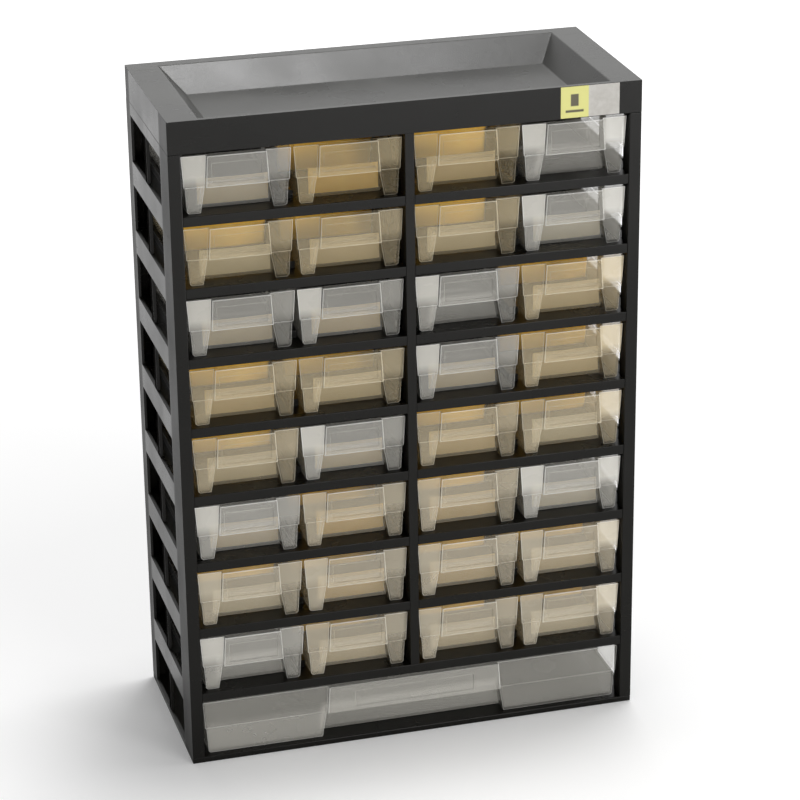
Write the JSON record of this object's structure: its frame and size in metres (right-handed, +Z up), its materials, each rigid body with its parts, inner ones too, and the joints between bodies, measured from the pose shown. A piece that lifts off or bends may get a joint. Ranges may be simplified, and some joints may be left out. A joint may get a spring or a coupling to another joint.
{
  "type": "parts bin cabinet",
  "caption": "Parts bin cabinet: a dark plastic carcass with a tray top, rows of small see-through drawers and a wide drawer below, each sliding out on its own shelf.",
  "frame": {"origin": "centre of the base's underside", "axes": "+X to the right seen from the front, +Y to the back, +Z up; the drawers slide out along -Y"},
  "size_m": [0.305, 0.131, 0.44],
  "materials": {
    "carcass_plastic": "satin black moulded polystyrene",
    "drawer_plastic": "milky clear moulded polypropylene",
    "divider_card": "amber moulded divider, semi-matt",
    "sticker_film": "printed vinyl film, bare of words"
  },
  "bodies": {
    "carcass": {"side_left": "carcass_plastic", "side_right": "carcass_plastic", "base": "carcass_plastic", "back_panel": "carcass_plastic", "top_tray": "carcass_plastic", "front_sticker": "sticker_film", "centre_upright": "carcass_plastic", "shelf_1": "carcass_plastic", "shelf_2": "carcass_plastic", "shelf_3": "carcass_plastic", "shelf_4": "carcass_plastic", "shelf_5": "carcass_plastic", "shelf_6": "carcass_plastic", "shelf_7": "carcass_plastic", "shelf_8": "carcass_plastic"},
    "wide_drawer": {"wide_drawer": "drawer_plastic"},
    "drawer_r1_c1": {"drawer_r1_c1": "drawer_plastic"},
    "drawer_r1_c2": {"drawer_r1_c2": "drawer_plastic", "divider_r1_c2": "divider_card"},
    "drawer_r1_c3": {"drawer_r1_c3": "drawer_plastic", "divider_r1_c3": "divider_card"},
    "drawer_r1_c4": {"drawer_r1_c4": "drawer_plastic"},
    "drawer_r2_c1": {"drawer_r2_c1": "drawer_plastic", "divider_r2_c1": "divider_card"},
    "drawer_r2_c2": {"drawer_r2_c2": "drawer_plastic", "divider_r2_c2": "divider_card"},
    "drawer_r2_c3": {"drawer_r2_c3": "drawer_plastic", "divider_r2_c3": "divider_card"},
    "drawer_r2_c4": {"drawer_r2_c4": "drawer_plastic"},
    "drawer_r3_c1": {"drawer_r3_c1": "drawer_plastic"},
    "drawer_r3_c2": {"drawer_r3_c2": "drawer_plastic"},
    "drawer_r3_c3": {"drawer_r3_c3": "drawer_plastic"},
    "drawer_r3_c4": {"drawer_r3_c4": "drawer_plastic", "divider_r3_c4": "divider_card"},
    "drawer_r4_c1": {"drawer_r4_c1": "drawer_plastic", "divider_r4_c1": "divider_card"},
    "drawer_r4_c2": {"drawer_r4_c2": "drawer_plastic", "divider_r4_c2": "divider_card"},
    "drawer_r4_c3": {"drawer_r4_c3": "drawer_plastic"},
    "drawer_r4_c4": {"drawer_r4_c4": "drawer_plastic", "divider_r4_c4": "divider_card"},
    "drawer_r5_c1": {"drawer_r5_c1": "drawer_plastic", "divider_r5_c1": "divider_card"},
    "drawer_r5_c2": {"drawer_r5_c2": "drawer_plastic"},
    "drawer_r5_c3": {"drawer_r5_c3": "drawer_plastic", "divider_r5_c3": "divider_card"},
    "drawer_r5_c4": {"drawer_r5_c4": "drawer_plastic", "divider_r5_c4": "divider_card"},
    "drawer_r6_c1": {"drawer_r6_c1": "drawer_plastic"},
    "drawer_r6_c2": {"drawer_r6_c2": "drawer_plastic"},
    "drawer_r6_c3": {"drawer_r6_c3": "drawer_plastic"},
    "drawer_r6_c4": {"drawer_r6_c4": "drawer_plastic"},
    "drawer_r7_c1": {"drawer_r7_c1": "drawer_plastic"},
    "drawer_r7_c2": {"drawer_r7_c2": "drawer_plastic"},
    "drawer_r7_c3": {"drawer_r7_c3": "drawer_plastic"},
    "drawer_r7_c4": {"drawer_r7_c4": "drawer_plastic"},
    "drawer_r8_c1": {"drawer_r8_c1": "drawer_plastic"},
    "drawer_r8_c2": {"drawer_r8_c2": "drawer_plastic"},
    "drawer_r8_c3": {"drawer_r8_c3": "drawer_plastic"},
    "drawer_r8_c4": {"drawer_r8_c4": "drawer_plastic"}
  },
  "joints": [
    {"name": "wide_drawer_slide", "type": "slide", "parent": "carcass", "child": "wide_drawer", "axis": [0, -1, 0], "range_m": [0, 0.105]},
    {"name": "drawer_r1_c1_slide", "type": "slide", "parent": "carcass", "child": "drawer_r1_c1", "axis": [0, -1, 0], "range_m": [0, 0.105]},
    {"name": "drawer_r1_c2_slide", "type": "slide", "parent": "carcass", "child": "drawer_r1_c2", "axis": [0, -1, 0], "range_m": [0, 0.105]},
    {"name": "drawer_r1_c3_slide", "type": "slide", "parent": "carcass", "child": "drawer_r1_c3", "axis": [0, -1, 0], "range_m": [0, 0.105]},
    {"name": "drawer_r1_c4_slide", "type": "slide", "parent": "carcass", "child": "drawer_r1_c4", "axis": [0, -1, 0], "range_m": [0, 0.105]},
    {"name": "drawer_r2_c1_slide", "type": "slide", "parent": "carcass", "child": "drawer_r2_c1", "axis": [0, -1, 0], "range_m": [0, 0.105]},
    {"name": "drawer_r2_c2_slide", "type": "slide", "parent": "carcass", "child": "drawer_r2_c2", "axis": [0, -1, 0], "range_m": [0, 0.105]},
    {"name": "drawer_r2_c3_slide", "type": "slide", "parent": "carcass", "child": "drawer_r2_c3", "axis": [0, -1, 0], "range_m": [0, 0.105]},
    {"name": "drawer_r2_c4_slide", "type": "slide", "parent": "carcass", "child": "drawer_r2_c4", "axis": [0, -1, 0], "range_m": [0, 0.105]},
    {"name": "drawer_r3_c1_slide", "type": "slide", "parent": "carcass", "child": "drawer_r3_c1", "axis": [0, -1, 0], "range_m": [0, 0.105]},
    {"name": "drawer_r3_c2_slide", "type": "slide", "parent": "carcass", "child": "drawer_r3_c2", "axis": [0, -1, 0], "range_m": [0, 0.105]},
    {"name": "drawer_r3_c3_slide", "type": "slide", "parent": "carcass", "child": "drawer_r3_c3", "axis": [0, -1, 0], "range_m": [0, 0.105]},
    {"name": "drawer_r3_c4_slide", "type": "slide", "parent": "carcass", "child": "drawer_r3_c4", "axis": [0, -1, 0], "range_m": [0, 0.105]},
    {"name": "drawer_r4_c1_slide", "type": "slide", "parent": "carcass", "child": "drawer_r4_c1", "axis": [0, -1, 0], "range_m": [0, 0.105]},
    {"name": "drawer_r4_c2_slide", "type": "slide", "parent": "carcass", "child": "drawer_r4_c2", "axis": [0, -1, 0], "range_m": [0, 0.105]},
    {"name": "drawer_r4_c3_slide", "type": "slide", "parent": "carcass", "child": "drawer_r4_c3", "axis": [0, -1, 0], "range_m": [0, 0.105]},
    {"name": "drawer_r4_c4_slide", "type": "slide", "parent": "carcass", "child": "drawer_r4_c4", "axis": [0, -1, 0], "range_m": [0, 0.105]},
    {"name": "drawer_r5_c1_slide", "type": "slide", "parent": "carcass", "child": "drawer_r5_c1", "axis": [0, -1, 0], "range_m": [0, 0.105]},
    {"name": "drawer_r5_c2_slide", "type": "slide", "parent": "carcass", "child": "drawer_r5_c2", "axis": [0, -1, 0], "range_m": [0, 0.105]},
    {"name": "drawer_r5_c3_slide", "type": "slide", "parent": "carcass", "child": "drawer_r5_c3", "axis": [0, -1, 0], "range_m": [0, 0.105]},
    {"name": "drawer_r5_c4_slide", "type": "slide", "parent": "carcass", "child": "drawer_r5_c4", "axis": [0, -1, 0], "range_m": [0, 0.105]},
    {"name": "drawer_r6_c1_slide", "type": "slide", "parent": "carcass", "child": "drawer_r6_c1", "axis": [0, -1, 0], "range_m": [0, 0.105]},
    {"name": "drawer_r6_c2_slide", "type": "slide", "parent": "carcass", "child": "drawer_r6_c2", "axis": [0, -1, 0], "range_m": [0, 0.105]},
    {"name": "drawer_r6_c3_slide", "type": "slide", "parent": "carcass", "child": "drawer_r6_c3", "axis": [0, -1, 0], "range_m": [0, 0.105]},
    {"name": "drawer_r6_c4_slide", "type": "slide", "parent": "carcass", "child": "drawer_r6_c4", "axis": [0, -1, 0], "range_m": [0, 0.105]},
    {"name": "drawer_r7_c1_slide", "type": "slide", "parent": "carcass", "child": "drawer_r7_c1", "axis": [0, -1, 0], "range_m": [0, 0.105]},
    {"name": "drawer_r7_c2_slide", "type": "slide", "parent": "carcass", "child": "drawer_r7_c2", "axis": [0, -1, 0], "range_m": [0, 0.105]},
    {"name": "drawer_r7_c3_slide", "type": "slide", "parent": "carcass", "child": "drawer_r7_c3", "axis": [0, -1, 0], "range_m": [0, 0.105]},
    {"name": "drawer_r7_c4_slide", "type": "slide", "parent": "carcass", "child": "drawer_r7_c4", "axis": [0, -1, 0], "range_m": [0, 0.105]},
    {"name": "drawer_r8_c1_slide", "type": "slide", "parent": "carcass", "child": "drawer_r8_c1", "axis": [0, -1, 0], "range_m": [0, 0.105]},
    {"name": "drawer_r8_c2_slide", "type": "slide", "parent": "carcass", "child": "drawer_r8_c2", "axis": [0, -1, 0], "range_m": [0, 0.105]},
    {"name": "drawer_r8_c3_slide", "type": "slide", "parent": "carcass", "child": "drawer_r8_c3", "axis": [0, -1, 0], "range_m": [0, 0.105]},
    {"name": "drawer_r8_c4_slide", "type": "slide", "parent": "carcass", "child": "drawer_r8_c4", "axis": [0, -1, 0], "range_m": [0, 0.105]}
  ]
}
